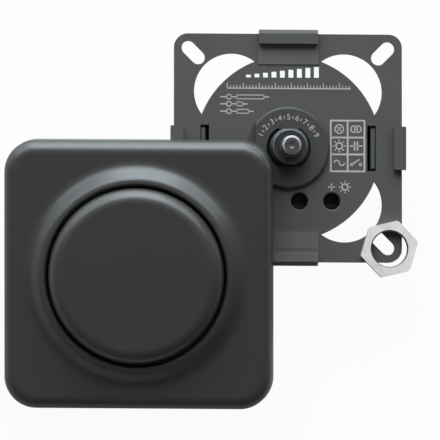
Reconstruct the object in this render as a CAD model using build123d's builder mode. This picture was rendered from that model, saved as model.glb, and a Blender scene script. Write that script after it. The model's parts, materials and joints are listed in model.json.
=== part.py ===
from build123d import *
import os
from math import asin, degrees, sqrt

os.makedirs("parts", exist_ok=True)

# A furniture dimmer taken apart. The insert lies on its back with its spindle up, the cover with its
# knob leans on two clips of the insert, and the fixing nut lies on a corner of the insert's plate.
# Millimetres. The origin is on the spindle's axis at the front of the boss, and +Z points out of the front.

# Front plate of the insert
plate_size = 71.0
plate_corner = 4.2
plate_thickness = 2.0
boss_radius = 12.85
boss_flat = 10.6
boss_height = 1.5
boss_edge = 0.9
disc_radius = 28.8
crescent_radius = 11.85
crescent_offset = 17.5
slot_inset = 5.95
slot_width = 4.4
slot_stroke = 4.15
minimum_trimmer_x = 13.6
maximum_trimmer_x = 3.5
trimmer_y = -16.6
trimmer_hole = 2.6
trimmer_countersink = 0.35

# Clip bars on the plate's edges, and the lands behind the upper and lower bar
clip_overhang = 1.25
clip_height = 2.2
clip_bevel = 1.2
long_clip_length = 18.3
long_clip_width = 4.4
short_clip_length = 13.4
short_clip_width = 3.9
land_width = 19.0
land_height = 0.3
land_run = 2.8

# Housing behind the plate
housing_depth = 14.7
housing_inset = 0.6
housing_draft = 0.5
housing_wall = 1.6
housing_edge = 2.0
arm_width = 12.4
arm_thickness = 1.1
arm_root = 5.8
arm_nose = 0.4
side_slot_depth = 3.55
side_slot_width = 2.75
side_slot_length = 14.2
side_slot_ledge = 0.5

# Screws from behind, through the housing's posts and the board into bosses on the plate
post_radius = 2.2
case_screw_radius = 0.9
case_screw_head = 1.9
case_screw_head_height = 1.2
case_screw_grip = 4.5
screw_stand = 0.5

# Bush, spindle and fixing nut
bush_radius = 6.0
bush_flats = 11.2
bush_length = 5.2
bush_neck = 5.7
bush_chamfer = 0.95
bush_hole_gap = 0.9
bush_hole_key = 0.3
spindle_radius = 3.0
journal_radius = 3.4
journal_end = 0.4
spindle_length = 11.5
spindle_chamfer = 0.7
running_gap = 0.05
push_travel = 1.2
ring_thickness = 0.4
ring_gap = 0.1
nut_flats = 16.0
nut_thickness = 2.4
nut_hole = 5.5
nut_turn = 13.5
nut_inset = 4.1

# Cover
cover_margin = 4.95
cover_corner = 10.0
cover_height = 9.5
cover_wall = 2.2
cover_edge = 4.0
cover_top_edge_y = 2.2
cover_right_edge_x = -4.8
ring_ledge = 1.7
ring_slope = 4.1
ring_height = 3.6
ring_foot_round = 5.0
ring_crest_round = 2.7
well_radius = 28.3
well_wall = 1.8
well_floor = 2.0
rib_thickness = 1.2
rib_offset = 14.0
rest_gap = 0.03

# Knob
knob_clearance = 1.0
knob_height = 11.0
knob_wall = 1.9
knob_edge = 4.5
knob_gap = 0.1
hub_radius = 4.5
hub_length = 5.4

# Electrical parts
pot_size = 17.0
pot_wall = 1.2
pot_corner = 2.0
wafer_thickness = 0.8
rotor_thickness = 1.4
rotor_gap = 0.2
rotor_room = 0.5
board_clearance = 0.7
board_thickness = 1.6
part_clearance = 0.6
switch_size = 13.0
terminal_pitch = 5.8

# Outlines worked out from the sizes above
plate_edge = plate_size / 2
clip_reach = plate_edge + clip_overhang
housing_radius = disc_radius - housing_inset
housing_foot = housing_radius - housing_draft
housing_room = housing_foot - housing_wall
side_slot_inner = housing_radius - side_slot_depth
bush_hole_radius = bush_radius + bush_hole_gap
bush_hole_flats = bush_flats + 2 * bush_hole_key
cover_size = 2 * (clip_reach + cover_margin)
ring_crest = well_radius + ring_ledge
ring_foot = ring_crest + ring_slope
knob_radius = well_radius - knob_clearance
board_radius = housing_room - board_clearance
post_circle = board_radius - post_radius - part_clearance
post_points = [Vector(post_circle, 0).rotate(Axis.Z, angle) for angle in (45, 135, 225, 335)]
trimmer_points = {"minimum": (minimum_trimmer_x, trimmer_y), "maximum": (maximum_trimmer_x, trimmer_y)}

# Heights worked out from the sizes above
plate_front = -boss_height
plate_rear = plate_front - plate_thickness
clip_top = plate_front + clip_height
housing_rear = plate_rear - housing_depth
housing_inside = housing_rear + housing_wall
table = housing_rear - screw_stand
groove_top = plate_rear - pot_wall - ring_gap
shoulder = groove_top - 2 * ring_thickness
rotor_top = shoulder - push_travel - rotor_room
pot_rear = rotor_top - rotor_thickness - rotor_gap - wafer_thickness
pot_height = plate_rear - pot_rear
board_rear = pot_rear - board_thickness
front_part_height = pot_height - part_clearance
rear_part_height = board_rear - housing_inside - part_clearance / 2


def double_d(radius, across_flats):
    """Return a circle with a flat above and a flat below."""
    with BuildSketch(mode=Mode.PRIVATE) as outline:
        Circle(radius)
        Rectangle(2 * radius, across_flats, mode=Mode.INTERSECT)
    return outline.sketch


def upright(plane):
    """Return the plane on which a profile of radius and height is drawn about the given plane's axis."""
    return Plane(plane.origin, x_dir=plane.x_dir, z_dir=-plane.y_dir)


def level(height):
    """Return the horizontal plane at the given height."""
    return Plane.XY.offset(height)


# The leaning cover: its rim touches the left clip and the lower clip, and one corner touches the table.
# It is laid flat at the height of the clips and turned down about the line through both contacts.
clip_flat = clip_reach - clip_bevel
rest_height = clip_top + rest_gap
left_contact = Vector(-clip_flat, cover_top_edge_y - cover_wall, rest_height)
lower_contact = Vector(cover_right_edge_x - cover_wall, -clip_flat, rest_height)
lean_axis = (lower_contact - left_contact).normalized()
uphill = Vector(-lean_axis.Y, lean_axis.X, 0)
cover_centre = Vector(cover_right_edge_x - cover_size / 2, cover_top_edge_y - cover_size / 2, rest_height)
low_corner = cover_centre - Vector(1, 1, 0) * (cover_size / 2 - cover_corner)
rim_drop = uphill.dot(left_contact - low_corner) + cover_corner
lean = degrees(asin((rest_height - table) / rim_drop))
cover_plane = Plane(Location(left_contact, lean_axis, lean) * Location(cover_centre - left_contact))
cover_axis = Axis(cover_plane.origin, cover_plane.z_dir)

# Heights in the cover, from its rim
well_under = -plate_rear
well_top = well_under + well_floor
face_under = cover_height - cover_wall
ridge = cover_height + ring_height
cup_radius = well_radius + well_wall
knob_plane = cover_plane.offset(well_top + knob_gap)

# Front plate
land_inner = disc_radius - land_run
with BuildPart() as front_plate:
    with BuildSketch(level(plate_rear)):
        RectangleRounded(plate_size, plate_size, plate_corner)
        with GridLocations(2 * crescent_offset, 2 * crescent_offset, 2, 2):
            Circle(crescent_radius, mode=Mode.SUBTRACT)
        Circle(disc_radius)
        for turn in (45, -45):
            near = plate_edge - slot_inset
            far = near if turn == 45 else -near
            with Locations((near, far), (-near, -far)):
                SlotCenterToCenter(slot_stroke, slot_width, rotation=turn, mode=Mode.SUBTRACT)
        with Locations(*trimmer_points.values()):
            Circle(trimmer_hole, mode=Mode.SUBTRACT)
    extrude(amount=plate_thickness)
    chamfer(front_plate.edges().filter_by(GeomType.CIRCLE).filter_by(
        lambda edge: abs(edge.radius - trimmer_hole) < 0.01).group_by(Axis.Z)[-1], trimmer_countersink)
    # Raised lands from the disc to the long clip bars
    with BuildSketch(level(plate_front)):
        with GridLocations(0, clip_flat + land_inner, 1, 2):
            Rectangle(land_width, clip_flat - land_inner)
    extrude(amount=land_height)
    # Clip bars with a bevelled outer edge
    with BuildSketch(level(plate_front)):
        with GridLocations(0, 2 * clip_reach - long_clip_width, 1, 2):
            Rectangle(long_clip_length, long_clip_width)
        with GridLocations(2 * clip_reach - short_clip_width, 0, 2, 1):
            Rectangle(short_clip_width, short_clip_length)
    extrude(amount=clip_height)
    bar_edges = front_plate.edges().group_by(Axis.Z)[-1]
    for axis in (Axis.X, Axis.Y):
        lines = bar_edges.filter_by(Axis.Y if axis == Axis.X else Axis.X).sort_by(axis)
        chamfer([lines[0], lines[-1]], clip_bevel)
    # Side slots, wider in front, so that a ledge is left for the housing's snap arms
    with BuildSketch(level(plate_rear)):
        with GridLocations(2 * side_slot_inner + side_slot_width - side_slot_ledge, 0, 2, 1):
            Rectangle(side_slot_width - side_slot_ledge, side_slot_length)
    extrude(amount=plate_thickness, mode=Mode.SUBTRACT)
    with BuildSketch(level(plate_front)):
        with GridLocations(2 * side_slot_inner + side_slot_width, 0, 2, 1):
            Rectangle(side_slot_width, side_slot_length)
    extrude(amount=-plate_thickness / 2, mode=Mode.SUBTRACT)
    # Boss with a flat on its left side and the keyed hole for the bush
    with BuildSketch(level(plate_front)):
        Circle(boss_radius)
        with Locations((-boss_flat - boss_radius, 0)):
            Rectangle(2 * boss_radius, 2 * boss_radius, mode=Mode.SUBTRACT)
    extrude(amount=boss_height)
    boss_rim = front_plate.edges().filter_by_position(Axis.Z, -running_gap, running_gap)
    fillet(boss_rim, boss_edge)
    with BuildSketch(level(plate_rear)):
        add(double_d(bush_hole_radius, bush_hole_flats))
    extrude(amount=plate_thickness + boss_height, mode=Mode.SUBTRACT)
    # Bosses behind the plate that take the screws
    with BuildSketch(level(plate_rear)):
        with Locations(*post_points):
            Circle(post_radius)
    extrude(amount=-pot_height)
    with BuildSketch(level(pot_rear)):
        with Locations(*post_points):
            Circle(case_screw_radius + running_gap)
    extrude(amount=case_screw_grip + ring_gap, mode=Mode.SUBTRACT)
front_plate.part.label = "front_plate"
export_step(front_plate.part, "parts/front_plate.step")

# Housing: a drafted cup with board posts, screw holes, wire windows and two snap arms
screw_room = 0.2
screw_bore = case_screw_radius + screw_room
counterbore = case_screw_head + screw_room
head_seat = table + case_screw_head_height
block_length = 3 * terminal_pitch + part_clearance
block_width = 9.0
block_y = sqrt(housing_room ** 2 - (block_length / 2) ** 2) - block_width / 2 - part_clearance
terminal_points = [(way * terminal_pitch, block_y) for way in (-1, 0, 1)]
wire_sill = 1.0
wire_window = rear_part_height - 2 * wire_sill
wire_height = board_rear - wire_window / 2 - wire_sill
screw_access = 2.2
arm_outer = side_slot_inner + side_slot_width - side_slot_ledge - running_gap
arm_inner = arm_outer - arm_thickness
arm_recess = 0.15
arm_top = plate_front - arm_recess
hook_height = plate_front - plate_thickness / 2 + running_gap
with BuildPart() as housing:
    with BuildSketch(Plane.XZ):
        with BuildLine():
            FilletPolyline((0, housing_rear), (housing_foot, housing_rear), (housing_radius, plate_rear),
                           radius=housing_edge)
            Polyline((housing_radius, plate_rear), (housing_radius - housing_wall, plate_rear),
                     (housing_room, housing_inside), (0, housing_inside), (0, housing_rear))
        make_face()
    revolve(axis=Axis.Z)
    with BuildSketch(level(housing_inside)):
        with Locations(*post_points):
            Circle(post_radius)
    extrude(amount=board_rear - housing_inside)
    with BuildSketch(level(housing_rear)):
        with Locations(*post_points):
            Circle(screw_bore)
    extrude(amount=board_rear - housing_rear, mode=Mode.SUBTRACT)
    with BuildSketch(level(housing_rear)):
        with Locations(*post_points):
            Circle(counterbore)
    extrude(amount=head_seat - housing_rear, mode=Mode.SUBTRACT)
    with BuildSketch(level(housing_rear)):
        with Locations(*terminal_points):
            Circle(screw_access)
    extrude(amount=housing_wall, mode=Mode.SUBTRACT)
    with BuildSketch(Plane.XZ.offset(-housing_radius)):
        with Locations((0, wire_height)):
            with GridLocations(terminal_pitch, 0, 3, 1):
                Rectangle(wire_window, wire_window)
    extrude(amount=3 * housing_wall, mode=Mode.SUBTRACT)
    # Snap arms: each hooks over the ledge in its slot, and its tip is bevelled on both sides
    with BuildSketch(Plane.XZ):
        with BuildLine():
            Polyline((arm_inner, plate_rear - arm_root), (arm_outer, plate_rear - arm_root),
                     (arm_outer, hook_height), (arm_outer + arm_nose, hook_height),
                     (arm_outer + arm_nose, arm_top - arm_nose), (arm_outer, arm_top),
                     (arm_inner + arm_nose, arm_top), (arm_inner, arm_top - arm_nose), close=True)
        make_face()
        mirror(about=Plane.YZ)
    extrude(amount=arm_width / 2, both=True)
housing.part.label = "housing"
export_step(housing.part, "parts/housing.step")

# Threaded bush with two flats and a neck in the boss, riveted into the potentiometer's case by its spigot
spigot_radius = 4.4
with BuildPart() as threaded_bush:
    with BuildSketch(Plane.XZ):
        with BuildLine():
            Polyline((0, plate_rear), (bush_neck, plate_rear), (bush_neck, 0), (bush_radius, 0),
                     (bush_radius, bush_length - bush_chamfer), (bush_radius - bush_chamfer, bush_length),
                     (0, bush_length), close=True)
        make_face()
    revolve(axis=Axis.Z)
    with BuildSketch(level(plate_rear)):
        add(double_d(bush_radius, bush_flats))
    extrude(amount=bush_length - plate_rear, mode=Mode.INTERSECT)
    with BuildSketch(level(plate_rear)):
        Circle(spigot_radius)
    extrude(amount=-pot_wall)
    with BuildSketch(level(plate_rear - pot_wall)):
        Circle(journal_radius + running_gap)
    extrude(amount=bush_length - plate_rear + pot_wall, mode=Mode.SUBTRACT)
threaded_bush.part.label = "threaded_bush"
export_step(threaded_bush.part, "parts/threaded_bush.step")

# Spindle: a round end for the knob, a journal in the bush with a groove for the retaining ring,
# and a square tail that drives the rotor
ring_groove = 2.3
tail_width = 3.6
tail_recess = 0.2
tail_end = board_rear + tail_recess
tail_hole = 2.9
centre_radius = 1.0
centre_depth = 0.6
ring_radius = 4.2
ring_mouth = 3.0
with BuildPart() as spindle:
    with BuildSketch(Plane.XZ):
        with BuildLine():
            Polyline((0, shoulder), (journal_radius, shoulder),
                     (journal_radius, groove_top - ring_thickness),
                     (ring_groove, groove_top - ring_thickness), (ring_groove, groove_top),
                     (journal_radius, groove_top), (journal_radius, bush_length + journal_end),
                     (spindle_radius, bush_length + journal_end),
                     (spindle_radius, spindle_length - spindle_chamfer),
                     (spindle_radius - spindle_chamfer, spindle_length), (centre_radius, spindle_length),
                     (0, spindle_length - centre_depth), close=True)
        make_face()
    revolve(axis=Axis.Z)
    with BuildSketch(level(tail_end)):
        Rectangle(tail_width, tail_width)
    extrude(amount=shoulder - tail_end)
spindle.part.label = "spindle"
export_step(spindle.part, "parts/spindle.step")

# Retaining ring: an open washer in the spindle's groove
ring_play = 0.02
with BuildPart() as retaining_ring:
    with BuildSketch(level(groove_top - ring_thickness + ring_play)):
        Circle(ring_radius)
        Circle(ring_groove + running_gap, mode=Mode.SUBTRACT)
        with Locations((0, -ring_radius / 2)):
            Rectangle(ring_mouth, ring_radius, mode=Mode.SUBTRACT)
    extrude(amount=ring_thickness - 2 * ring_play)
retaining_ring.part.label = "retaining_ring"
export_step(retaining_ring.part, "parts/retaining_ring.step")

# Potentiometer: a square case, open behind, with a wafer that closes it and a rotor between them
cavity_radius = 7.6
rotor_clearance = 0.4
rotor_radius = cavity_radius - rotor_clearance
drive_play = 0.2
rotor_bore = tail_width + drive_play
with BuildPart() as potentiometer_case:
    with BuildSketch(level(pot_rear)):
        Rectangle(pot_size, pot_size)
        chamfer(vertices(), pot_corner)
    extrude(amount=pot_height)
    with BuildSketch(level(pot_rear)):
        Circle(cavity_radius)
    extrude(amount=pot_height - pot_wall, mode=Mode.SUBTRACT)
    with BuildSketch(level(plate_rear)):
        Circle(spigot_radius)
    extrude(amount=-pot_wall, mode=Mode.SUBTRACT)
potentiometer_case.part.label = "potentiometer_case"
export_step(potentiometer_case.part, "parts/potentiometer_case.step")

with BuildPart() as resistor_wafer:
    with BuildSketch(level(pot_rear)):
        Circle(cavity_radius - running_gap)
        Circle(tail_hole, mode=Mode.SUBTRACT)
    extrude(amount=wafer_thickness)
resistor_wafer.part.label = "resistor_wafer"
export_step(resistor_wafer.part, "parts/resistor_wafer.step")

with BuildPart() as wiper_rotor:
    with BuildSketch(level(rotor_top)):
        Circle(rotor_radius)
        Rectangle(rotor_bore, rotor_bore, mode=Mode.SUBTRACT)
    extrude(amount=-rotor_thickness)
wiper_rotor.part.label = "wiper_rotor"
export_step(wiper_rotor.part, "parts/wiper_rotor.step")

# Push switch behind the board: case, plunger and its spring
switch_height = rear_part_height
switch_rear = board_rear - switch_height
switch_wall = 0.8
switch_corner = 1.0
plunger_gap = 0.1
plunger_top = tail_end - plunger_gap
plunger_clearance = 0.15
plunger_radius = tail_hole - plunger_clearance
plunger_flange = board_rear - switch_wall - plunger_gap
flange_reach = 0.6
flange_radius = plunger_radius + flange_reach
flange_thickness = 1.0
spring_wire = 0.4
spring_radius = 2.6
spring_turns = 3
with BuildPart() as switch_case:
    with BuildSketch(level(switch_rear)):
        RectangleRounded(switch_size, switch_size, switch_corner)
    extrude(amount=switch_height)
    with BuildSketch(level(switch_rear + switch_wall)):
        Circle(flange_radius + 2 * plunger_gap)
    extrude(amount=switch_height - 2 * switch_wall, mode=Mode.SUBTRACT)
    with BuildSketch(level(board_rear)):
        Circle(tail_hole)
    extrude(amount=-switch_wall, mode=Mode.SUBTRACT)
switch_case.part.label = "switch_case"
export_step(switch_case.part, "parts/switch_case.step")

with BuildPart() as switch_plunger:
    with BuildSketch(level(plunger_flange)):
        Circle(plunger_radius)
    extrude(amount=plunger_top - plunger_flange)
    with BuildSketch(level(plunger_flange)):
        Circle(flange_radius)
    extrude(amount=-flange_thickness)
switch_plunger.part.label = "switch_plunger"
export_step(switch_plunger.part, "parts/switch_plunger.step")

spring_foot = switch_rear + switch_wall
spring_head = plunger_flange - flange_thickness
spring_coil = spring_head - spring_foot - spring_wire
with BuildPart() as plunger_spring:
    with BuildLine(level(spring_foot + spring_wire / 2)):
        coil = Helix(pitch=spring_coil / spring_turns, height=spring_coil, radius=spring_radius)
    with BuildSketch(Plane(coil @ 0, z_dir=coil % 0)):
        Rectangle(spring_wire, spring_wire)
    sweep(path=coil, is_frenet=True)
plunger_spring.part.label = "plunger_spring"
export_step(plunger_spring.part, "parts/plunger_spring.step")

# Circuit board between the potentiometer and the housing's posts
with BuildPart() as circuit_board:
    with BuildSketch(level(board_rear)):
        Circle(board_radius)
        Circle(tail_hole, mode=Mode.SUBTRACT)
        with Locations(*post_points):
            Circle(screw_bore, mode=Mode.SUBTRACT)
    extrude(amount=board_thickness)
circuit_board.part.label = "circuit_board"
export_step(circuit_board.part, "parts/circuit_board.step")

# Four screws that clamp the board between the plate's bosses and the housing's posts
case_screw_slot = 0.6
with BuildPart() as housing_screws:
    with BuildSketch(level(table)):
        with Locations(*post_points):
            Circle(case_screw_head)
    extrude(amount=case_screw_head_height)
    with BuildSketch(level(head_seat)):
        with Locations(*post_points):
            Circle(case_screw_radius)
    extrude(amount=pot_rear + case_screw_grip - head_seat)
    with BuildSketch(level(table)):
        with Locations(*post_points):
            Rectangle(case_screw_head, case_screw_slot)
            Rectangle(case_screw_slot, case_screw_head)
    extrude(amount=case_screw_head_height / 2, mode=Mode.SUBTRACT)
housing_screws.part.label = "housing_screws"
export_step(housing_screws.part, "parts/housing_screws.step")

# Terminal block with three chambers, their clamps and the clamp screws
block_height = rear_part_height
block_rear = board_rear - block_height
chamber_length = 4.4
chamber_width = 5.2
block_wall = 0.8
chamber_depth = block_height - block_wall
clamp_gap = 0.1
clamp_length = chamber_length - 2 * clamp_gap
clamp_width = chamber_width - 2 * clamp_gap
clamp_inset = 0.8
clamp_height = chamber_depth - clamp_inset
clamp_sheet = 0.7
clamp_base = 0.8
clamp_rear = block_rear + clamp_inset
clamp_window = clamp_height - clamp_sheet - clamp_base
screw_radius = 1.2
screw_head_radius = 1.9
screw_head_height = 0.9
screw_slot = 0.6
with BuildPart() as terminal_block:
    with BuildSketch(level(block_rear)):
        with Locations((0, block_y)):
            Rectangle(block_length, block_width)
    extrude(amount=block_height)
    with BuildSketch(level(block_rear)):
        with Locations(*terminal_points):
            Rectangle(chamber_length, chamber_width)
    extrude(amount=chamber_depth, mode=Mode.SUBTRACT)
    with BuildSketch(Plane.XZ.offset(-block_y)):
        with Locations((0, wire_height)):
            with GridLocations(terminal_pitch, 0, 3, 1):
                Rectangle(wire_window, wire_window - part_clearance)
    extrude(amount=-block_width / 2, mode=Mode.SUBTRACT)
terminal_block.part.label = "terminal_block"
export_step(terminal_block.part, "parts/terminal_block.step")

with BuildPart() as terminal_clamps:
    with BuildSketch(level(clamp_rear)):
        with Locations(*terminal_points):
            Rectangle(clamp_length, clamp_width)
    extrude(amount=clamp_height)
    with BuildSketch(Plane.XZ.offset(-block_y)):
        with Locations((0, clamp_rear + clamp_height - clamp_sheet - clamp_window / 2)):
            with GridLocations(terminal_pitch, 0, 3, 1):
                Rectangle(clamp_length - 2 * clamp_sheet, clamp_window)
    extrude(amount=clamp_width, both=True, mode=Mode.SUBTRACT)
    with BuildSketch(level(clamp_rear)):
        with Locations(*terminal_points):
            Circle(screw_radius + running_gap)
    extrude(amount=clamp_height - clamp_sheet, mode=Mode.SUBTRACT)
terminal_clamps.part.label = "terminal_clamps"
export_step(terminal_clamps.part, "parts/terminal_clamps.step")

with BuildPart() as terminal_screws:
    with BuildSketch(level(clamp_rear)):
        with Locations(*terminal_points):
            Circle(screw_head_radius)
    extrude(amount=-screw_head_height)
    with BuildSketch(level(clamp_rear)):
        with Locations(*terminal_points):
            Circle(screw_radius)
    extrude(amount=clamp_base)
    with BuildSketch(level(clamp_rear - screw_head_height)):
        with Locations(*terminal_points):
            Rectangle(2 * screw_head_radius, screw_slot)
    extrude(amount=screw_head_height / 2, mode=Mode.SUBTRACT)
terminal_screws.part.label = "terminal_screws"
export_step(terminal_screws.part, "parts/terminal_screws.step")

# Two trimmers under the holes in the plate: a base on the board and a slotted screw on a pivot
trimmer_size = 6.6
trimmer_height = 3.5
trimmer_top = pot_rear + trimmer_height
pivot_radius = 0.9
pivot_length = 1.4
trimmer_screw_height = 1.2
trimmer_screw_gap = 0.35
trimmer_slot_width = 0.7
trimmer_slot_depth = 0.8
for name, point in trimmer_points.items():
    with BuildPart() as trimmer_base:
        with BuildSketch(level(pot_rear)):
            with Locations(point):
                Rectangle(trimmer_size, trimmer_size)
        extrude(amount=trimmer_height)
        with BuildSketch(level(trimmer_top)):
            with Locations(point):
                Circle(pivot_radius + running_gap)
        extrude(amount=-pivot_length - clamp_gap, mode=Mode.SUBTRACT)
    trimmer_base.part.label = f"{name}_trimmer_base"
    export_step(trimmer_base.part, f"parts/{name}_trimmer_base.step")

    with BuildPart() as trimmer_screw:
        with BuildSketch(level(trimmer_top + running_gap)):
            with Locations(point):
                Circle(trimmer_hole - trimmer_screw_gap)
        extrude(amount=trimmer_screw_height)
        with BuildSketch(level(trimmer_top + running_gap)):
            with Locations(point):
                Circle(pivot_radius)
        extrude(amount=-pivot_length)
        with BuildSketch(level(trimmer_top + running_gap + trimmer_screw_height)):
            with Locations(point):
                Rectangle(2 * trimmer_hole, trimmer_slot_width)
        extrude(amount=-trimmer_slot_depth, mode=Mode.SUBTRACT)
    trimmer_screw.part.label = f"{name}_trimmer_screw"
    export_step(trimmer_screw.part, f"parts/{name}_trimmer_screw.step")

# Two flat transistors behind the board, and the bent sheet that takes their heat
transistor_length = 6.5
transistor_width = 6.0
transistor_height = 2.3
transistor_pitch = 10.0
sheet_length = 24.0
sheet_width = 11.0
sheet_thickness = 1.2
sheet_y = sheet_width / 2 + part_clearance - sqrt(housing_room ** 2 - (sheet_length / 2) ** 2)
sheet_centre = (0, sheet_y)
sheet_front = board_rear - transistor_height
with BuildPart() as transistors:
    with BuildSketch(level(board_rear)):
        with Locations(sheet_centre):
            with GridLocations(transistor_pitch, 0, 2, 1):
                Rectangle(transistor_length, transistor_width)
    extrude(amount=-transistor_height)
transistors.part.label = "transistors"
export_step(transistors.part, "parts/transistors.step")

with BuildPart() as heat_spreader:
    with BuildSketch(level(sheet_front)):
        with Locations(sheet_centre):
            Rectangle(sheet_length, sheet_width)
    extrude(amount=-sheet_thickness)
    with BuildSketch(level(sheet_front)):
        with Locations(sheet_centre):
            with GridLocations(sheet_length - sheet_thickness, 0, 2, 1):
                Rectangle(sheet_thickness, sheet_width)
    extrude(amount=transistor_height)
heat_spreader.part.label = "heat_spreader"
export_step(heat_spreader.part, "parts/heat_spreader.step")

# Parts on the front of the board, round the potentiometer
film_length = 15.0
film_width = 6.0
film_gap = 3.0
film_y = pot_size / 2 + film_width / 2 + film_gap
film_round = 0.5
with BuildPart() as film_capacitor:
    with BuildSketch(level(pot_rear)):
        with Locations((0, film_y)):
            RectangleRounded(film_length, film_width, film_round)
    extrude(amount=front_part_height)
film_capacitor.part.label = "film_capacitor"
export_step(film_capacitor.part, "parts/film_capacitor.step")

can_radius = (pot_height - part_clearance) / 2
can_length = 11.0
can_groove = 0.3
can_groove_height = 1.8
can_gap = 4.6
can_x = -(pot_size / 2 + can_radius + can_gap)
can_y = 2.5
can_foot = Plane((can_x, can_y, pot_rear + can_radius), x_dir=(1, 0, 0), z_dir=(0, 1, 0))
with BuildPart() as electrolytic_capacitor:
    with BuildSketch(upright(can_foot)):
        with BuildLine():
            Polyline((0, 0), (can_radius, 0), (can_radius, can_groove_height - can_groove),
                     (can_radius - can_groove, can_groove_height),
                     (can_radius, can_groove_height + can_groove), (can_radius, can_length),
                     (0, can_length), close=True)
        make_face()
    revolve(axis=Axis(can_foot.origin, can_foot.z_dir))
electrolytic_capacitor.part.label = "electrolytic_capacitor"
export_step(electrolytic_capacitor.part, "parts/electrolytic_capacitor.step")

choke_flange = 5.0
choke_neck = 2.4
choke_height = front_part_height
choke_inset = 0.4
flange_height = 1.0
flange_under = choke_height - flange_height
choke_gap = 2.5
choke_x = pot_size / 2 + choke_flange + choke_gap
choke_y = 7.0
choke_plane = Plane((choke_x, choke_y, pot_rear))
with BuildPart() as choke_core:
    with BuildSketch(upright(choke_plane)):
        with BuildLine():
            Polyline((0, 0), (choke_flange, 0), (choke_flange, flange_height), (choke_neck, flange_height),
                     (choke_neck, flange_under), (choke_flange, flange_under), (choke_flange, choke_height),
                     (0, choke_height), close=True)
        make_face()
    revolve(axis=Axis(choke_plane.origin, choke_plane.z_dir))
choke_core.part.label = "choke_core"
export_step(choke_core.part, "parts/choke_core.step")

with BuildPart() as choke_winding:
    with BuildSketch(choke_plane.offset(flange_height)):
        Circle(choke_flange - choke_inset)
        Circle(choke_neck, mode=Mode.SUBTRACT)
    extrude(amount=choke_height - 2 * flange_height)
choke_winding.part.label = "choke_winding"
export_step(choke_winding.part, "parts/choke_winding.step")

chip_length = 8.6
chip_width = 3.9
chip_height = 1.4
chip_lift = 0.2
leg_pitch = 1.27
leg_width = 0.5
leg_length = 1.2
leg_height = 0.9
legs_a_side = 6
chip_x = -7.5
chip_rise = 1.1
chip_centre = (chip_x, trimmer_y + chip_rise)
with BuildPart() as controller_chip:
    with BuildSketch(level(pot_rear + chip_lift)):
        with Locations(chip_centre):
            Rectangle(chip_length, chip_width)
    extrude(amount=chip_height)
    with BuildSketch(level(pot_rear)):
        with Locations(chip_centre):
            with GridLocations(leg_pitch, chip_width + leg_width, legs_a_side, 2):
                Rectangle(leg_width, leg_length)
    extrude(amount=leg_height)
controller_chip.part.label = "controller_chip"
export_step(controller_chip.part, "parts/controller_chip.step")

fuse_radius = 4.2
fuse_height = front_part_height - part_clearance
fuse_bevel = 0.6
fuse_gap = 2.8
fuse_x = -(pot_size / 2 + fuse_radius + fuse_gap)
fuse_y = -6.5
with BuildPart() as fuse:
    with BuildSketch(level(pot_rear)):
        with Locations((fuse_x, fuse_y)):
            Circle(fuse_radius)
    extrude(amount=fuse_height)
    chamfer(fuse.edges().group_by(Axis.Z)[-1], fuse_bevel)
fuse.part.label = "fuse"
export_step(fuse.part, "parts/fuse.step")

# Cover: a hollow square with a rolled edge, a raised ring and a well with a keyed hole in its floor
snap_reach = cover_size / 2 - cover_wall
snap_width = 10.0
clip_gap = 0.2
snap_clearance = 0.4
snap_bite = 0.8
snap_face = clip_reach + snap_clearance
snap_nose = clip_reach - snap_bite
snap_foot = 1.0
snap_tip = plate_thickness - clip_gap
snap_back = snap_tip + snap_bite
wall_bite = 0.4
well_lip = 0.5
ring_web = 0.8
ring_under = ring_foot + ring_web
ring_reach = ring_foot + ring_foot_round / 2
rib_root = sqrt(cup_radius ** 2 - rib_offset ** 2) - wall_bite
rib_end = snap_reach + wall_bite
quarter_planes = [Plane(cover_plane.location * Rotation(0, 0, turn)) for turn in (0, 90, 180, 270)]
with BuildPart() as cover:
    with BuildSketch(cover_plane):
        RectangleRounded(cover_size, cover_size, cover_corner)
    extrude(amount=cover_height)
    fillet(cover.edges().group_by(cover_axis)[-1], cover_edge)
    with BuildSketch(cover_plane):
        RectangleRounded(2 * snap_reach, 2 * snap_reach, cover_corner - cover_wall)
    extrude(amount=face_under, mode=Mode.SUBTRACT)
    # Stiffening ribs between the well and the side walls
    with BuildSketch(*[plane.offset(face_under) for plane in quarter_planes]):
        with Locations(((rib_end + rib_root) / 2, 0)):
            with GridLocations(0, 2 * rib_offset, 1, 2):
                Rectangle(rib_end - rib_root, rib_thickness)
    extrude(amount=-(face_under - well_under))
    # Snap ribs that catch under the insert's clip bars
    with BuildSketch(*[upright(plane) for plane in quarter_planes]):
        with BuildLine():
            Polyline((rib_end, face_under), (snap_face, face_under), (snap_face, snap_back),
                     (snap_nose, snap_tip), (snap_face, snap_foot), (rib_end, snap_foot), close=True)
        make_face()
    extrude(amount=snap_width / 2, both=True)
    with BuildSketch(cover_plane.offset(well_top)):
        Circle(well_radius)
    extrude(amount=cover_height, mode=Mode.SUBTRACT)
    with BuildSketch(upright(cover_plane)):
        with BuildLine():
            FilletPolyline((ring_reach, cover_height), (ring_foot, cover_height), (ring_crest, ridge),
                           (well_radius + well_lip, ridge), radius=[ring_foot_round, ring_crest_round])
            Polyline((well_radius + well_lip, ridge), (well_radius, ridge - well_lip),
                     (well_radius, well_top), (0, well_top), (0, well_under), (cup_radius, well_under),
                     (cup_radius, ridge - cover_wall), (ring_under, face_under), (ring_reach, face_under),
                     (ring_reach, cover_height))
        make_face()
    revolve(axis=cover_axis)
    with BuildSketch(cover_plane):
        add(double_d(bush_radius + bush_hole_key, bush_hole_flats))
    extrude(amount=cover_height, mode=Mode.SUBTRACT)
cover.part.label = "cover"
export_step(cover.part, "parts/cover.step")

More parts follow.
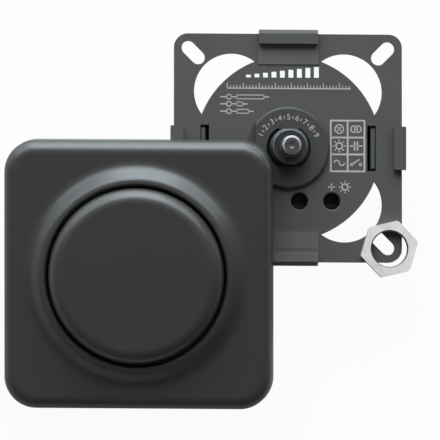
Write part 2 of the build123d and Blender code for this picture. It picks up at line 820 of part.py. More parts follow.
# Knob: a round cap with a slotted hub for the spindle and short ribs under its top
knob_axis = Axis(knob_plane.origin, knob_plane.z_dir)
knob_inside = knob_height - knob_wall
hub_foot = knob_inside - hub_length
hub_top_room = 0.6
hub_ceiling = knob_inside - hub_top_room
hub_slot = 1.0
knob_bevel = (knob_edge - knob_wall) / 2
clip_ring_wall = 0.6
clip_ring_height = 2.2
with BuildPart() as knob:
    with BuildSketch(upright(knob_plane)):
        with BuildLine():
            Polyline((0, knob_height), (knob_radius, knob_height), (knob_radius, 0),
                     (knob_radius - knob_wall, 0), (knob_radius - knob_wall, knob_inside - knob_bevel),
                     (knob_radius - knob_wall - knob_bevel, knob_inside), (hub_radius, knob_inside), (hub_radius, hub_foot),
                     (spindle_radius + running_gap, hub_foot),
                     (spindle_radius + running_gap, hub_ceiling), (0, hub_ceiling), close=True)
        make_face()
    revolve(axis=knob_axis)
    fillet(knob.edges().group_by(knob_axis)[-1], knob_edge)
    with BuildSketch(knob_plane.offset(hub_foot)):
        Rectangle(2 * hub_radius, hub_slot)
        Rectangle(hub_slot, 2 * hub_radius)
    extrude(amount=hub_length / 2, mode=Mode.SUBTRACT)
    with BuildSketch(knob_plane.offset(knob_inside)):
        with PolarLocations((hub_radius + knob_radius - knob_wall) / 2, 4, start_angle=45):
            Rectangle(knob_radius - knob_wall - hub_radius + 2 * wall_bite, rib_thickness)
    extrude(amount=-knob_wall)
knob.part.label = "knob"
export_step(knob.part, "parts/knob.step")

# Split ring that presses the hub's fingers on the spindle
with BuildPart() as knob_clip:
    with BuildSketch(knob_plane.offset(hub_foot + wall_bite)):
        Circle(hub_radius + running_gap + clip_ring_wall)
        Circle(hub_radius + running_gap, mode=Mode.SUBTRACT)
        with Locations((hub_radius, 0)):
            Rectangle(4 * clip_ring_wall, hub_slot, mode=Mode.SUBTRACT)
    extrude(amount=clip_ring_height)
knob_clip.part.label = "knob_clip"
export_step(knob_clip.part, "parts/knob_clip.step")

# Fixing nut on the plate's lower right corner
nut_centre = plate_edge - nut_inset
nut_plane = Plane((nut_centre, -nut_centre, plate_front))
nut_chamfer = 0.7
nut_flank = 1.2
nut_face_reach = 0.25
nut_round = nut_flats / 2 + nut_face_reach
nut_far = nut_round + nut_flank
nut_countersink = 0.4
with BuildPart() as fixing_nut:
    with BuildSketch(nut_plane):
        RegularPolygon(nut_flats / 2, 6, major_radius=False, rotation=nut_turn)
        Circle(nut_hole, mode=Mode.SUBTRACT)
    extrude(amount=nut_thickness)
    with BuildSketch(upright(nut_plane)):
        with BuildLine():
            Polyline((0, 0), (nut_round, 0), (nut_far, nut_chamfer), (nut_far, nut_thickness - nut_chamfer),
                     (nut_round, nut_thickness), (0, nut_thickness), close=True)
        make_face()
    revolve(axis=Axis(nut_plane.origin, nut_plane.z_dir), mode=Mode.INTERSECT)
    chamfer(fixing_nut.edges().filter_by(GeomType.CIRCLE).filter_by(
        lambda edge: abs(edge.radius - nut_hole) < 0.01), nut_countersink)
fixing_nut.part.label = "fixing_nut"
export_step(fixing_nut.part, "parts/fixing_nut.step")
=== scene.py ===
import json
from math import atan2, cos, degrees, hypot, pi, radians, sin

import bmesh
import bpy
from mathutils import Matrix, Vector


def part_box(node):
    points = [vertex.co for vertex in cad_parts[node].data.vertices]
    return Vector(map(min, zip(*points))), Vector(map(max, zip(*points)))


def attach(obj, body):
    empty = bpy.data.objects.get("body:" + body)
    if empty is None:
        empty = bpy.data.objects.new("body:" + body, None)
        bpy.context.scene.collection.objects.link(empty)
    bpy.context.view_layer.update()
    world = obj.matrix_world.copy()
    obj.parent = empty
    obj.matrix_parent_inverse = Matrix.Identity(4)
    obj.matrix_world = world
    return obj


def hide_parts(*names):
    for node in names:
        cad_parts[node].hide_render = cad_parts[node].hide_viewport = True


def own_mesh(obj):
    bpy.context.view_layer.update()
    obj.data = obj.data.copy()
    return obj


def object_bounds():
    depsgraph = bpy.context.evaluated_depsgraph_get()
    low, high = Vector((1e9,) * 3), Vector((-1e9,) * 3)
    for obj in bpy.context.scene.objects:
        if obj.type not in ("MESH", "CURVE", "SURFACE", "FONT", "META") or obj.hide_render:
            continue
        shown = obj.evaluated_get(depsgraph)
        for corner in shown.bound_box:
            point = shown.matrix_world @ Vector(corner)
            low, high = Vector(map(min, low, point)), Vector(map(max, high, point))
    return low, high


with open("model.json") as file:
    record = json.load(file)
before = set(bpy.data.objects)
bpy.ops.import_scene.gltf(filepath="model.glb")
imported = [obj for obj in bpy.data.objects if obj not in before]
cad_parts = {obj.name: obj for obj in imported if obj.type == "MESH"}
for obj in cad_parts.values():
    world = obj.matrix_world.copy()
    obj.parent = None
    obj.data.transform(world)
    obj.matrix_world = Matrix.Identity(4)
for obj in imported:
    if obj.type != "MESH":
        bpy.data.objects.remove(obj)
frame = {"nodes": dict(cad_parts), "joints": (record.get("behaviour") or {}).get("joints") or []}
cad_low, cad_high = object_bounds()


# Housing: the round cup behind the plate, with posts for the board and two snap arms. It is moulded in
# dark grey glass-filled plastic, and its spark-eroded tool leaves a fine even grain.
mm = 0.001
nodes = frame["nodes"]
housing_grey = (0.072, 0.072, 0.073)
housing_edge_ease = 0.12
noise_low, noise_high = 0.3, 0.7
mottle_scale, mottle_detail = 70, 4
gloss_scale, gloss_detail = 420, 3
grain_detail = 2
facet_gap = 0.0005
flat_angle, edge_angle = 0.2, 40
edge_segments = 2


def new_finish(name):
    """A material with its nodes, its shader and the Object coordinates that its patterns follow."""
    material = bpy.data.materials.new(name)
    material.use_nodes = True
    tree = material.node_tree
    place = tree.nodes.new("ShaderNodeTexCoord").outputs["Object"]
    return material, tree, tree.nodes["Principled BSDF"], place


def noise(tree, place, scale, detail):
    """A cloudy pattern, its scale in waves to the metre."""
    clouds = tree.nodes.new("ShaderNodeTexNoise")
    clouds.inputs["Scale"].default_value = scale
    clouds.inputs["Detail"].default_value = detail
    tree.links.new(place, clouds.inputs["Vector"])
    return clouds.outputs["Fac"]


def vary_colour(tree, shader, pattern, colour, shares, stops=(noise_low, noise_high)):
    """Shades a colour by a pattern, between two shares of it."""
    shades = tree.nodes.new("ShaderNodeValToRGB")
    for stop, position, share in zip(shades.color_ramp.elements, stops, shares):
        stop.position = position
        stop.color = [min(1, channel * share) for channel in colour] + [1]
    tree.links.new(pattern, shades.inputs["Fac"])
    tree.links.new(shades.outputs["Color"], shader.inputs["Base Color"])


def vary_gloss(tree, shader, pattern, smoothest, roughest):
    """Makes a surface smoother and rougher by a pattern."""
    spread = tree.nodes.new("ShaderNodeMapRange")
    spread.inputs["From Min"].default_value = noise_low
    spread.inputs["From Max"].default_value = noise_high
    spread.inputs["To Min"].default_value = smoothest
    spread.inputs["To Max"].default_value = roughest
    tree.links.new(pattern, spread.inputs["Value"])
    tree.links.new(spread.outputs["Result"], shader.inputs["Roughness"])


def raise_relief(tree, shader, pattern, relief):
    """Raises a surface by a pattern, by a relief in mm."""
    bump = tree.nodes.new("ShaderNodeBump")
    bump.inputs["Strength"].default_value = 1
    bump.inputs["Distance"].default_value = relief * mm
    tree.links.new(pattern, bump.inputs["Height"])
    tree.links.new(bump.outputs["Normal"], shader.inputs["Normal"])


def moulded_plastic(name, colour, roughness, grain=0.25, relief=0.006, mottle=0.07, specular=0.5):
    """A moulding with tool grain (size and relief in mm) and mottle, its unevenness in colour and gloss."""
    material, tree, shader, place = new_finish(name)
    shader.inputs["Specular IOR Level"].default_value = specular
    clouds = noise(tree, place, mottle_scale, mottle_detail)
    vary_colour(tree, shader, clouds, colour, (1 - mottle, 1 + mottle))
    gloss = noise(tree, place, gloss_scale, gloss_detail)
    vary_gloss(tree, shader, gloss, roughness - mottle / 3, roughness + mottle / 2)
    raise_relief(tree, shader, noise(tree, place, 1 / (grain * mm), grain_detail), relief)
    return material


def dress(node, material):
    """Gives a node of the frame its finish."""
    for slot in nodes[node].material_slots:
        slot.material = material


def ease_edges(node, width):
    """Joins a node's facets, takes the sharpness off its edges (width in mm) and evens its shading."""
    piece = nodes[node]
    weld = piece.modifiers.new("joined_facets", "WELD")
    weld.merge_threshold = facet_gap * mm
    flat = piece.modifiers.new("whole_faces", "DECIMATE")
    flat.decimate_type = "DISSOLVE"
    flat.angle_limit = radians(flat_angle)
    eased = piece.modifiers.new("eased_edges", "BEVEL")
    eased.width = width * mm
    eased.segments = edge_segments
    eased.limit_method = "ANGLE"
    eased.angle_limit = radians(edge_angle)
    even = piece.modifiers.new("even_shading", "WEIGHTED_NORMAL")
    even.keep_sharp = True


dress("housing", moulded_plastic("housing_moulding", housing_grey, roughness=0.48, grain=0.30,
                                 relief=0.010, mottle=0.06, specular=0.40))
ease_edges("housing", housing_edge_ease)


# Housing screws: four small pan-head screws from behind that clamp the board between the posts and the
# bosses. They are cold-headed steel with a bright plating.
screw_edge_ease = 0.08
plating_scale, plating_detail = 260, 4
plating_shares = (0.88, 1.06)
plating_smoother, plating_rougher = 0.06, 0.08
scratch_stretch, scratch_turn, scratch_detail = 9, 24, 5


def plated_metal(name, colour, roughness, scratch, relief=0.003):
    """Plated metal with fine scratches one way (spacing and relief in mm) and a cloudy colour."""
    material, tree, shader, place = new_finish(name)
    shader.inputs["Metallic"].default_value = 1
    vary_colour(tree, shader, noise(tree, place, plating_scale, plating_detail), colour, plating_shares)
    streaks = tree.nodes.new("ShaderNodeMapping")
    streaks.inputs["Scale"].default_value = (1, scratch_stretch, 1)
    streaks.inputs["Rotation"].default_value = (0, 0, radians(scratch_turn))
    tree.links.new(place, streaks.inputs["Vector"])
    scratches = noise(tree, streaks.outputs["Vector"], 1 / (scratch * mm), scratch_detail)
    vary_gloss(tree, shader, scratches, roughness - plating_smoother, roughness + plating_rougher)
    raise_relief(tree, shader, scratches, relief)
    return material


bright_plating = plated_metal("bright_plating", (0.74, 0.745, 0.75), roughness=0.30, scratch=0.8)
dress("housing_screws", bright_plating)
ease_edges("housing_screws", screw_edge_ease)


# Circuit board and the parts on it: a green masked board with terminals, trimmers, power parts and a
# choke. The closed housing hides them, so each keeps its own shape and gets the finish of its stuff.
board_mask = moulded_plastic("board_mask", (0.012, 0.075, 0.035), roughness=0.30, grain=0.9, mottle=0.18)
part_moulding = moulded_plastic("part_moulding", (0.014, 0.014, 0.016), roughness=0.38, mottle=0.10)
terminal_moulding = moulded_plastic("terminal_moulding", (0.26, 0.28, 0.29), roughness=0.42, mottle=0.06)
film_box = moulded_plastic("film_box", (0.52, 0.33, 0.035), roughness=0.34, grain=0.4)
pressed_ferrite = moulded_plastic("pressed_ferrite", (0.022, 0.022, 0.024), roughness=0.62, grain=0.12,
                                  relief=0.010, mottle=0.15, specular=0.4)
trimmer_blue = moulded_plastic("trimmer_blue", (0.022, 0.048, 0.15), roughness=0.36)
trimmer_black = moulded_plastic("trimmer_black", (0.006, 0.006, 0.006), roughness=0.45, specular=0.3)
plain_brass = plated_metal("plain_brass", (0.62, 0.43, 0.15), roughness=0.32, scratch=0.7)
spring_wire = plated_metal("spring_wire", (0.42, 0.42, 0.43), roughness=0.30, scratch=0.5)
rolled_aluminium = plated_metal("rolled_aluminium", (0.72, 0.73, 0.74), roughness=0.38, scratch=1.4,
                                relief=0.004)
copper_wire = plated_metal("copper_wire", (0.60, 0.22, 0.09), roughness=0.30, scratch=0.4, relief=0.004)
for finish, dressed in (
        (board_mask, ["circuit_board"]),
        (part_moulding, ["potentiometer_case", "resistor_wafer", "switch_case", "transistors",
                         "electrolytic_capacitor", "controller_chip", "fuse"]),
        (terminal_moulding, ["wiper_rotor", "switch_plunger", "terminal_block"]),
        (film_box, ["film_capacitor"]),
        (pressed_ferrite, ["choke_core"]),
        (trimmer_blue, ["minimum_trimmer_base", "maximum_trimmer_base"]),
        (trimmer_black, ["minimum_trimmer_screw", "maximum_trimmer_screw"]),
        (plain_brass, ["terminal_clamps"]),
        (bright_plating, ["terminal_screws"]),
        (spring_wire, ["retaining_ring", "knob_clip"]),
        (rolled_aluminium, ["heat_spreader"]),
        (copper_wire, ["choke_winding"])):
    for node in dressed:
        dress(node, finish)


# Plunger spring: the small coil under the push switch's plunger, wound from round spring steel wire.
# It stands on the floor of the switch, under the plunger.
coil_wire = 0.4 * mm
coil_radius = 2.6 * mm
coil_turns = 3
coil_steps = 32
wire_sides = 10
coil_low, coil_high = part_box("plunger_spring")
coil_length = coil_high.z - coil_low.z
smooth_angle = 32


def set_up(name, shape, finishes, body):
    """Makes a shape a piece with its finishes, which moves with a body."""
    for face in shape.faces:
        face.smooth = True
    data = bpy.data.meshes.new(name)
    shape.to_mesh(data)
    shape.free()
    data.set_sharp_from_angle(angle=radians(smooth_angle))
    for finish in finishes:
        data.materials.append(finish)
    piece = bpy.data.objects.new(name, data)
    bpy.context.scene.collection.objects.link(piece)
    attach(piece, body)
    return piece


def close_end(shape, spun):
    """Closes the far end of a spun outline with a face."""
    outline = [end for end in spun["geom_last"] if isinstance(end, bmesh.types.BMEdge)]
    bmesh.ops.contextual_create(shape, geom=outline)


coil = bmesh.new()
wire_place = Matrix.Translation((coil_radius, 0, coil_low.z + coil_wire / 2))
bmesh.ops.create_circle(coil, cap_ends=True, segments=wire_sides, radius=coil_wire / 2,
                        matrix=wire_place @ Matrix.Rotation(pi / 2, 4, "X"))
wound = bmesh.ops.spin(coil, geom=coil.verts[:] + coil.edges[:], cent=(0, 0, 0), axis=(0, 0, 1),
                       dvec=(0, 0, (coil_length - coil_wire) / (coil_turns * coil_steps)),
                       angle=2 * pi * coil_turns, steps=coil_turns * coil_steps)
close_end(coil, wound)
bmesh.ops.recalc_face_normals(coil, faces=coil.faces)
coil_piece = set_up("coil_spring", coil, [spring_wire], "insert")
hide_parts("plunger_spring")
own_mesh(coil_piece)


# Front plate: the square carrier of the insert, moulded in dark grey plastic with a fine matt grain.
# Its boss comes out darker. Its upper clip bar's lip is painted darker, painted shade that dims the
# lamps' highlight there, and its lands and lower clip bar are painted paler, painted light that lifts
# the shadows of the clip bars and the cover there, with a painted shadow line of plain tone between
# those two. The housing's arms snap into its side slots.
plate_grey = (0.0735, 0.0670, 0.0620)
plate_edge_ease = 0.15
boss_radius, boss_tone = 12.9, 0.64
land_half_width = 9.5
# The lands are painted paler: painted light that lifts the clip bars' and the cover's shadow there.
land_inner, land_painted_light = 26.0, 1.35
# The lower clip bar is painted paler too: painted light that lifts the cover's shadow on it.
bar_inner, lower_bar_painted_light = 32.35, 1.50
# The upper clip bar's lip is painted darker: painted shade that dims the lamps' highlight on it.
lip_inner, upper_lip_painted_shade = 35.6, 0.30
bar_outer = 38.0
# A strip of plain tone this wide between the lower land and the lower clip bar is a painted shadow line.
painted_shadow_line = 1.1
plate_moulding = moulded_plastic("plate_moulding", plate_grey, roughness=0.50, grain=0.28, relief=0.010,
                                 mottle=0.045, specular=0.35)


def worked(tree, operation, *values):
    """A sum in a material, on outputs of its nodes and numbers."""
    step = tree.nodes.new("ShaderNodeMath")
    step.operation = operation
    for socket, value in zip(step.inputs, values):
        if isinstance(value, bpy.types.NodeSocket):
            tree.links.new(value, socket)
        else:
            socket.default_value = value
    return step.outputs["Value"]


tree = plate_moulding.node_tree
parted = tree.nodes.new("ShaderNodeSeparateXYZ")
tree.links.new(tree.nodes["Texture Coordinate"].outputs["Object"], parted.inputs["Vector"])
across, along = parted.outputs["X"], parted.outputs["Y"]
off_axis = worked(tree, "SQRT", worked(tree, "ADD", worked(tree, "MULTIPLY", across, across),
                                       worked(tree, "MULTIPLY", along, along)))
on_boss = worked(tree, "LESS_THAN", off_axis, boss_radius * mm)
tone = worked(tree, "MULTIPLY_ADD", on_boss, boss_tone - 1, 1)
beside_axis = worked(tree, "LESS_THAN", worked(tree, "ABSOLUTE", across), land_half_width * mm)
# Painted light and shade in bands: lands and lower clip bar paler, upper lip darker, and a painted shadow
# line left plain between lower land and bar.
painted_light_and_shade_bands = ((land_inner, bar_inner, land_painted_light), (painted_shadow_line - bar_inner, -land_inner, land_painted_light),
              (-bar_outer, -bar_inner, lower_bar_painted_light), (lip_inner, bar_outer, upper_lip_painted_shade))
for low, high, painted_band_tone in painted_light_and_shade_bands:
    in_painted_band = worked(tree, "COMPARE", along, (low + high) / 2 * mm, (high - low) / 2 * mm)
    on_painted_band = worked(tree, "MULTIPLY", beside_axis, in_painted_band)
    tone = worked(tree, "MULTIPLY_ADD", on_painted_band, painted_band_tone - 1, tone)
toned = tree.nodes.new("ShaderNodeVectorMath")
toned.operation = "SCALE"
base_colour = tree.nodes["Principled BSDF"].inputs["Base Color"]
tree.links.new(base_colour.links[0].from_socket, toned.inputs[0])
tree.links.new(tone, toned.inputs["Scale"])
tree.links.new(toned.outputs["Vector"], base_colour)
dress("front_plate", plate_moulding)
ease_edges("front_plate", plate_edge_ease)


# Printed marks: a dial of numbers on the boss, a scale, a wedge of bars and plain circuit signs on the
# plate. They are pad-printed in pale and white ink, a few hundredths of a millimetre thick.
ink_thickness = 0.03
plate_level, boss_level = -1.5, 0.0
crossing_drop = 0.005
crossing_level = plate_level - crossing_drop
pale_ink = (0.400, 0.360, 0.335)
white_ink = (0.95, 0.87, 0.82)
fine_line, frame_line = 0.38, 0.55
ring_step, fewest_steps = 11, 6


def stroke(print_run, start, end, width, level=plate_level):
    """A straight printed line between two points. Lengths in mm."""
    run = Vector(end) - Vector(start)
    middle = (Vector(start) + Vector(end)) / 2 * mm
    place = Matrix.Translation((middle.x, middle.y, (level + ink_thickness / 2) * mm))
    size = Matrix.Diagonal((run.length * mm, width * mm, ink_thickness * mm, 1))
    turn = Matrix.Rotation(atan2(run.y, run.x), 4, "Z")
    bmesh.ops.create_cube(print_run, size=1, matrix=place @ turn @ size)


def circle(print_run, centre, radius, width, start=0, sweep=360):
    """A printed ring on the plate, or an arc from a start angle. Lengths in mm, angles in degrees."""
    corners = [print_run.verts.new(((centre[0] + radius + side * width / 2) * mm, centre[1] * mm,
                                    (plate_level + height) * mm))
               for side, height in ((-1, 0), (1, 0), (1, ink_thickness), (-1, ink_thickness))]
    edges = [print_run.edges.new((corners[corner], corners[corner - 1])) for corner in range(4)]
    axis_point = (centre[0] * mm, centre[1] * mm, 0)
    to_start = Matrix.Rotation(radians(start), 3, "Z")
    bmesh.ops.rotate(print_run, verts=corners, cent=axis_point, matrix=to_start)
    whole = sweep == 360
    if not whole:
        print_run.faces.new(corners)
    spun = bmesh.ops.spin(print_run, geom=corners + edges, cent=axis_point, axis=(0, 0, 1),
                          angle=radians(sweep), steps=max(fewest_steps, round(sweep / ring_step)),
                          use_merge=whole)
    if not whole:
        close_end(print_run, spun)


def number(print_run, figure, centre, turn, height, level):
    """A printed number, turned about its centre. Lengths in mm, angle in degrees."""
    words = bpy.data.curves.new("number", "FONT")
    words.body = str(figure)
    words.align_x, words.align_y = "CENTER", "CENTER"
    words.size = height * mm
    words.extrude = ink_thickness / 2 * mm
    holder = bpy.data.objects.new("number", words)
    bpy.context.scene.collection.objects.link(holder)
    outline = bpy.data.meshes.new_from_object(holder)
    place = Matrix.Translation((centre[0] * mm, centre[1] * mm, (level + ink_thickness / 2) * mm))
    outline.transform(place @ Matrix.Rotation(radians(turn), 4, "Z"))
    print_run.from_mesh(outline)
    bpy.data.objects.remove(holder)
    bpy.data.curves.remove(words)
    bpy.data.meshes.remove(outline)


def outward(angle):
    """The direction at an angle in degrees."""
    return Vector((cos(radians(angle)), sin(radians(angle))))


def sun(print_run, centre, radius, rays=8):
    """A ring with rays."""
    ring_radius, ring_width = 0.5 * radius, 0.24 * radius
    ray_start, ray_width = 0.76 * radius, 0.2 * radius
    circle(print_run, centre, ring_radius, ring_width)
    for ray in range(rays):
        foot, tip = [Vector(centre) + outward(ray * 360 / rays) * reach for reach in (ray_start, radius)]
        stroke(print_run, foot, tip, ray_width)


grey_print = bmesh.new()
dial_radius, dial_height = 9.45, 2.5
dial_start, dial_step, dial_end = 172, 16.4, 9
dial_tick_inner, dial_tick_outer, dial_tick_line = 9.0, 9.9, 0.25
for figure in range(1, dial_end + 1):
    angle = dial_start - figure * dial_step
    number(grey_print, figure, dial_radius * outward(angle), angle - 90, dial_height, boss_level)
for figure in range(1, dial_end):
    between = outward(dial_start - (figure + 0.5) * dial_step)
    stroke(grey_print, between * dial_tick_inner, between * dial_tick_outer, dial_tick_line, boss_level)

scale_left, scale_right, scale_foot = -19.0, 19.5, 18.5
short_tick, long_tick, long_every, scale_tick_line = 1.0, 1.7, 5, 0.28
stroke(grey_print, (scale_left, scale_foot), (scale_right, scale_foot), fine_line)
for tick in range(int(scale_right - scale_left) + 1):
    tick_x, tick_top = scale_left + tick, scale_foot + (short_tick if tick % long_every else long_tick)
    stroke(grey_print, (tick_x, scale_foot), (tick_x, tick_top), scale_tick_line, crossing_level)

circuit_left = -21.2
circuit_rows = ((15.8, -6.0), (13.6, -12.6), (11.3, -10.8))
first_lead, second_lead, last_lead = 1.8, 3.5, 1.6
bead_x, bead_radius, bead_line = circuit_left + 2.7, 0.75, 0.32
box_left, box_half_height, box_line = circuit_left + 5.2, 0.6, 0.3
for row_y, row_right in circuit_rows:
    box_right, box_end = row_right - last_lead, box_half_height + box_line / 2
    stroke(grey_print, (circuit_left, row_y), (circuit_left + first_lead, row_y), fine_line)
    circle(grey_print, (bead_x, row_y), bead_radius, bead_line)
    stroke(grey_print, (circuit_left + second_lead, row_y), (box_left, row_y), fine_line)
    for side_y in (row_y - box_half_height, row_y + box_half_height):
        stroke(grey_print, (box_left, side_y), (box_right, side_y), box_line)
    for end_x in (box_left, box_right):
        stroke(grey_print, (end_x, row_y - box_end), (end_x, row_y + box_end), box_line)
    stroke(grey_print, (box_right, row_y), (row_right, row_y), fine_line)

grid_left, grid_right, grid_top, grid_foot = 13.3, 23.8, 8.6, -7.2
grid_middle, grid_cells = (grid_left + grid_right) / 2, 3
grid_rows = [grid_foot + row * (grid_top - grid_foot) / grid_cells for row in range(grid_cells + 1)]
for row_y in grid_rows:
    stroke(grey_print, (grid_left - frame_line / 2, row_y), (grid_right + frame_line / 2, row_y), frame_line)
for column_x in (grid_left, grid_middle, grid_right):
    stroke(grey_print, (column_x, grid_foot), (column_x, grid_top), frame_line, crossing_level)
left_x, right_x = (grid_left + grid_middle) / 2, (grid_middle + grid_right) / 2
low_y, mid_y, top_y = [(lower + upper) / 2 for lower, upper in zip(grid_rows, grid_rows[1:])]

lamp_radius, lamp_arm, lamp_line = 1.35, 0.95, 0.32
circle(grey_print, (left_x, top_y), lamp_radius, fine_line)
for rise in (-lamp_arm, lamp_arm):
    stroke(grey_print, (left_x - lamp_arm, top_y - rise), (left_x + lamp_arm, top_y + rise), lamp_line)

winding_radius, winding_offset = 1.0, 0.6
for offset in (-winding_offset, winding_offset):
    circle(grey_print, (right_x + offset, top_y), winding_radius, fine_line)

sun_radius = 2.0
sun(grey_print, (left_x, mid_y), sun_radius)

foil_offset, foil_half_height, foil_line, foil_lead = 0.45, 1.4, 0.45, 2.0
for side in (-1, 1):
    foil_x, lead_x = right_x + side * foil_offset, right_x + side * foil_lead
    stroke(grey_print, (foil_x, mid_y - foil_half_height), (foil_x, mid_y + foil_half_height), foil_line)
    stroke(grey_print, (foil_x, mid_y), (lead_x, mid_y), fine_line)

wave_radius = 0.8
for offset, start in ((-wave_radius, 0), (wave_radius, 180)):
    circle(grey_print, (left_x + offset, low_y), wave_radius, fine_line, start=start, sweep=180)

contact_offset, contact_drop, contact_radius, contact_line = 1.35, 0.5, 0.35, 0.3
lever_reach, lever_foot, lever_top = 1.1, -0.25, 1.1
for offset in (-contact_offset, contact_offset):
    circle(grey_print, (right_x + offset, low_y - contact_drop), contact_radius, contact_line)
stroke(grey_print, (right_x - lever_reach, low_y + lever_foot), (right_x + lever_reach, low_y + lever_top),
       fine_line)

trimmer_signs_y = -12.1
plus_x, plus_arm, plus_line = 13.5, 1.1, 0.4
small_sun_x, small_sun_radius = 17.7, 1.9
stroke(grey_print, (plus_x - plus_arm, trimmer_signs_y), (plus_x + plus_arm, trimmer_signs_y), plus_line)
stroke(grey_print, (plus_x, trimmer_signs_y - plus_arm), (plus_x, trimmer_signs_y + plus_arm), plus_line)
sun(grey_print, (small_sun_x, trimmer_signs_y), small_sun_radius)

white_print = bmesh.new()
wedge_left, wedge_foot, wedge_pitch, wedge_line, wedge_bars = -12.4, 21.9, 2.65, 1.5, 9
wedge_lowest, wedge_rise = 0.8, 0.32
for bar in range(wedge_bars):
    bar_x, bar_top = wedge_left + bar * wedge_pitch, wedge_foot + wedge_lowest + bar * wedge_rise
    stroke(white_print, (bar_x, wedge_foot), (bar_x, bar_top), wedge_line)

for name, run, colour in (("grey_print", grey_print, pale_ink), ("white_print", white_print, white_ink)):
    bmesh.ops.recalc_face_normals(run, faces=run.faces)
    ink = moulded_plastic(name + "_ink", colour, roughness=0.55, grain=0.12, relief=0.004, mottle=0.10,
                          specular=0.3)
    set_up(name, run, [ink], "insert")


# Threaded bush: the black bush of the control, with a fine thread for the nut, two flats that key it in
# the plate and a chamfered mouth. A pale ring at the mouth's edge is a painted highlight, standing in for
# the light a rounded edge would catch. It is moulded in glass-filled plastic and riveted into the control.
bush_bore = 3.45
bush_spigot, bush_spigot_foot = 4.4, -4.7
bush_neck, bush_neck_foot = 5.7, -3.5
bush_radius, bush_length = 6.0, 5.2
bush_chamfer = 0.95
bush_flats = 11.2
bush_steps, bush_thread_cuts = 144, 51
thread_pitch = 1.0
thread_depth = 0.5
painted_highlight_width = 0.3
tell_apart = 0.1


def turned(profile, steps, closed, fine_edge, cuts):
    """A shape turned about Z from (radius, height) points in mm, with one of its lines cut up finely."""
    shape = bmesh.new()
    points = [shape.verts.new((radius * mm, 0, height * mm)) for radius, height in profile]
    edges = [shape.edges.new(pair) for pair in zip(points, points[1:])]
    if closed:
        edges.append(shape.edges.new((points[-1], points[0])))
    bmesh.ops.subdivide_edges(shape, edges=[edges[fine_edge]], cuts=cuts)
    bmesh.ops.spin(shape, geom=shape.verts[:] + shape.edges[:], cent=(0, 0, 0), axis=(0, 0, 1),
                   angle=2 * pi, steps=steps, use_merge=True)
    bmesh.ops.remove_doubles(shape, verts=shape.verts, dist=facet_gap * mm)
    bmesh.ops.recalc_face_normals(shape, faces=shape.faces)
    return shape


def thread_cut(point, angle, depth):
    """How deep a thread is cut at a point of its cylinder, for its depth in mm."""
    turns = point.co.z / (thread_pitch * mm) - angle / (2 * pi)
    return depth * mm * (0.5 - 0.5 * cos(2 * pi * turns))


bush = turned([(bush_bore, bush_spigot_foot), (bush_spigot, bush_spigot_foot), (bush_spigot, bush_neck_foot),
               (bush_neck, bush_neck_foot), (bush_neck, 0), (bush_radius, 0), (bush_radius, bush_length),
               (bush_bore, bush_length)], bush_steps, True, fine_edge=5, cuts=bush_thread_cuts)
for point in bush.verts:
    radius, angle = hypot(point.co.x, point.co.y), atan2(point.co.y, point.co.x)
    if radius > (bush_neck + tell_apart) * mm:
        mouth = bush_radius * mm - max(0, point.co.z - (bush_length - bush_chamfer) * mm)
        radius = min(bush_radius * mm - thread_cut(point, angle, thread_depth), mouth)
        point.co.x, point.co.y = radius * cos(angle), radius * sin(angle)
    point.co.y = max(-bush_flats / 2 * mm, min(bush_flats / 2 * mm, point.co.y))
# The faces at the outer edge of the mouth get the painted highlight, a pale ring all round.
for face in bush.faces:
    middle = face.calc_center_median()
    at_mouth = middle.z > (bush_length - painted_highlight_width) * mm
    on_painted_highlight = at_mouth and middle.xy.length > (bush_radius - bush_chamfer) * mm
    face.material_index = 1 if on_painted_highlight else 0
black_moulding = moulded_plastic("black_moulding", (0.018, 0.018, 0.0185), roughness=0.40, grain=0.30,
                                 mottle=0.10)
# Painted highlight: a paler moulding for the ring at the mouth's edge.
painted_highlight_moulding = moulded_plastic("painted_highlight_moulding", (0.105, 0.105, 0.105), roughness=0.45, grain=0.30,
                                  mottle=0.25)
bush_piece = set_up("control_bush", bush, [black_moulding, painted_highlight_moulding], "insert")
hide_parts("threaded_bush")


# Spindle: the turned shaft that the knob goes on, with a journal in the bush, a groove for its ring and
# a square tail. It is steel with a dark finish, and the chamfer of its end is left bright.
spindle_radius, spindle_end, spindle_chamfer = 3.0, 11.5, 0.7
journal_radius, journal_end = 3.4, 5.6
groove_radius, groove_top, groove_foot = 2.3, -4.8, -5.2
shoulder = -5.6
tail_width, tail_end, tail_bite = 3.6, -11.1, 0.2
centre_radius, centre_depth = 1.0, 0.6
spindle_steps, end_face_cuts = 96, 3
wave_phase = 20
ring_wander, ring_shares = 0.6, (0.78, 1.1)
turned_scale, turned_detail = 600, 2
turned_smoother, turned_rougher = 0.05, 0.08


def turned_metal(name, colour, roughness, groove, relief):
    """Turned metal with fine rings round the Z axis (groove and relief in mm) and cloudy gloss."""
    material, tree, shader, place = new_finish(name)
    shader.inputs["Metallic"].default_value = 1
    rings = tree.nodes.new("ShaderNodeTexWave")
    rings.wave_type = "RINGS"
    rings.rings_direction = "Z"
    rings.inputs["Scale"].default_value = 2 * pi / (wave_phase * groove * mm)
    rings.inputs["Distortion"].default_value = ring_wander
    tree.links.new(place, rings.inputs["Vector"])
    vary_colour(tree, shader, rings.outputs["Fac"], colour, ring_shares, stops=(0, 1))
    clouds = noise(tree, place, turned_scale, turned_detail)
    vary_gloss(tree, shader, clouds, roughness - turned_smoother, roughness + turned_rougher)
    raise_relief(tree, shader, rings.outputs["Fac"], relief)
    return material


